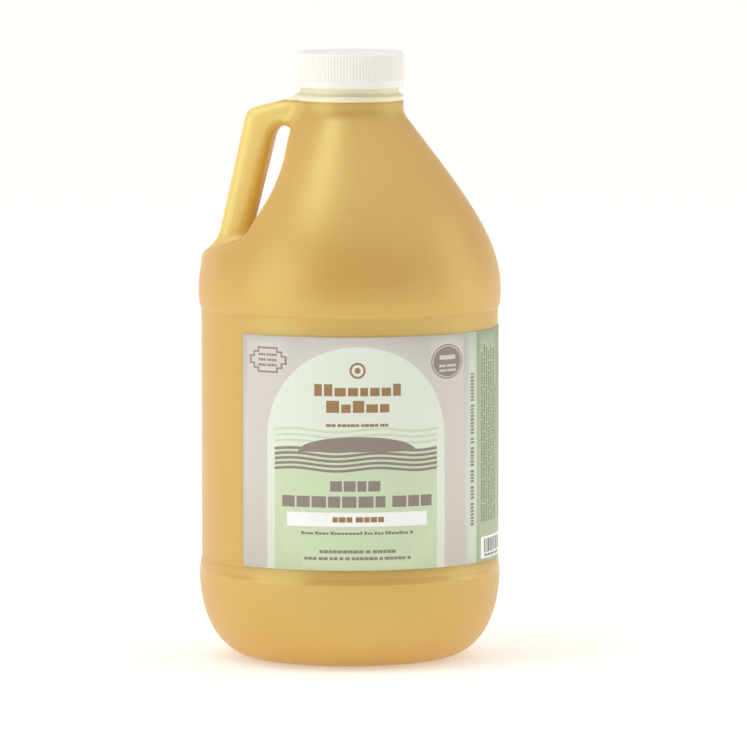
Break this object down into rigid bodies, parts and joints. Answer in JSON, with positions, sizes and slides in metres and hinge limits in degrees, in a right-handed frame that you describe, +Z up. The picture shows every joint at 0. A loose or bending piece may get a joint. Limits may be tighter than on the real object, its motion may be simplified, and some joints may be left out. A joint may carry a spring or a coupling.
{
  "type": "one-gallon round oil jug with screw cap",
  "caption": "Round blow-moulded gallon jug with a hollow side handle, filled with golden oil, with a wrap-around label and a ribbed screw cap.",
  "frame": {"origin": "centre of the foot ring, on the surface the jug stands on", "axes": "+Z up the jug's axis to the cap; the label's front faces -Y; the handle points to -X, in the mould's parting plane"},
  "size_m": [0.152, 0.152, 0.3053],
  "materials": {
    "jug": "satin",
    "oil": "gloss",
    "label": "satin",
    "cap": "satin",
    "liner": "matte"
  },
  "bodies": {
    "jug": {"jug_shell": "jug", "massage_oil": "oil", "wrap_label": "label"},
    "liner": {"cap_liner": "liner"},
    "cap": {"cap_shell": "cap"}
  },
  "joints": [
    {"name": "cap_rise", "type": "slide", "parent": "jug", "child": "liner", "axis": [0, 0, 1], "range_m": [0, 0.0191]},
    {"name": "cap_turn", "type": "hinge", "parent": "liner", "child": "cap", "pos_m": [0, 0, 0.296], "axis": [0, 0, 1], "range_deg": [0, 1620]}
  ],
  "couplings": [
    {"joint": "cap_rise", "follows": "cap_turn", "m_per_rad": 0.00067376}
  ]
}
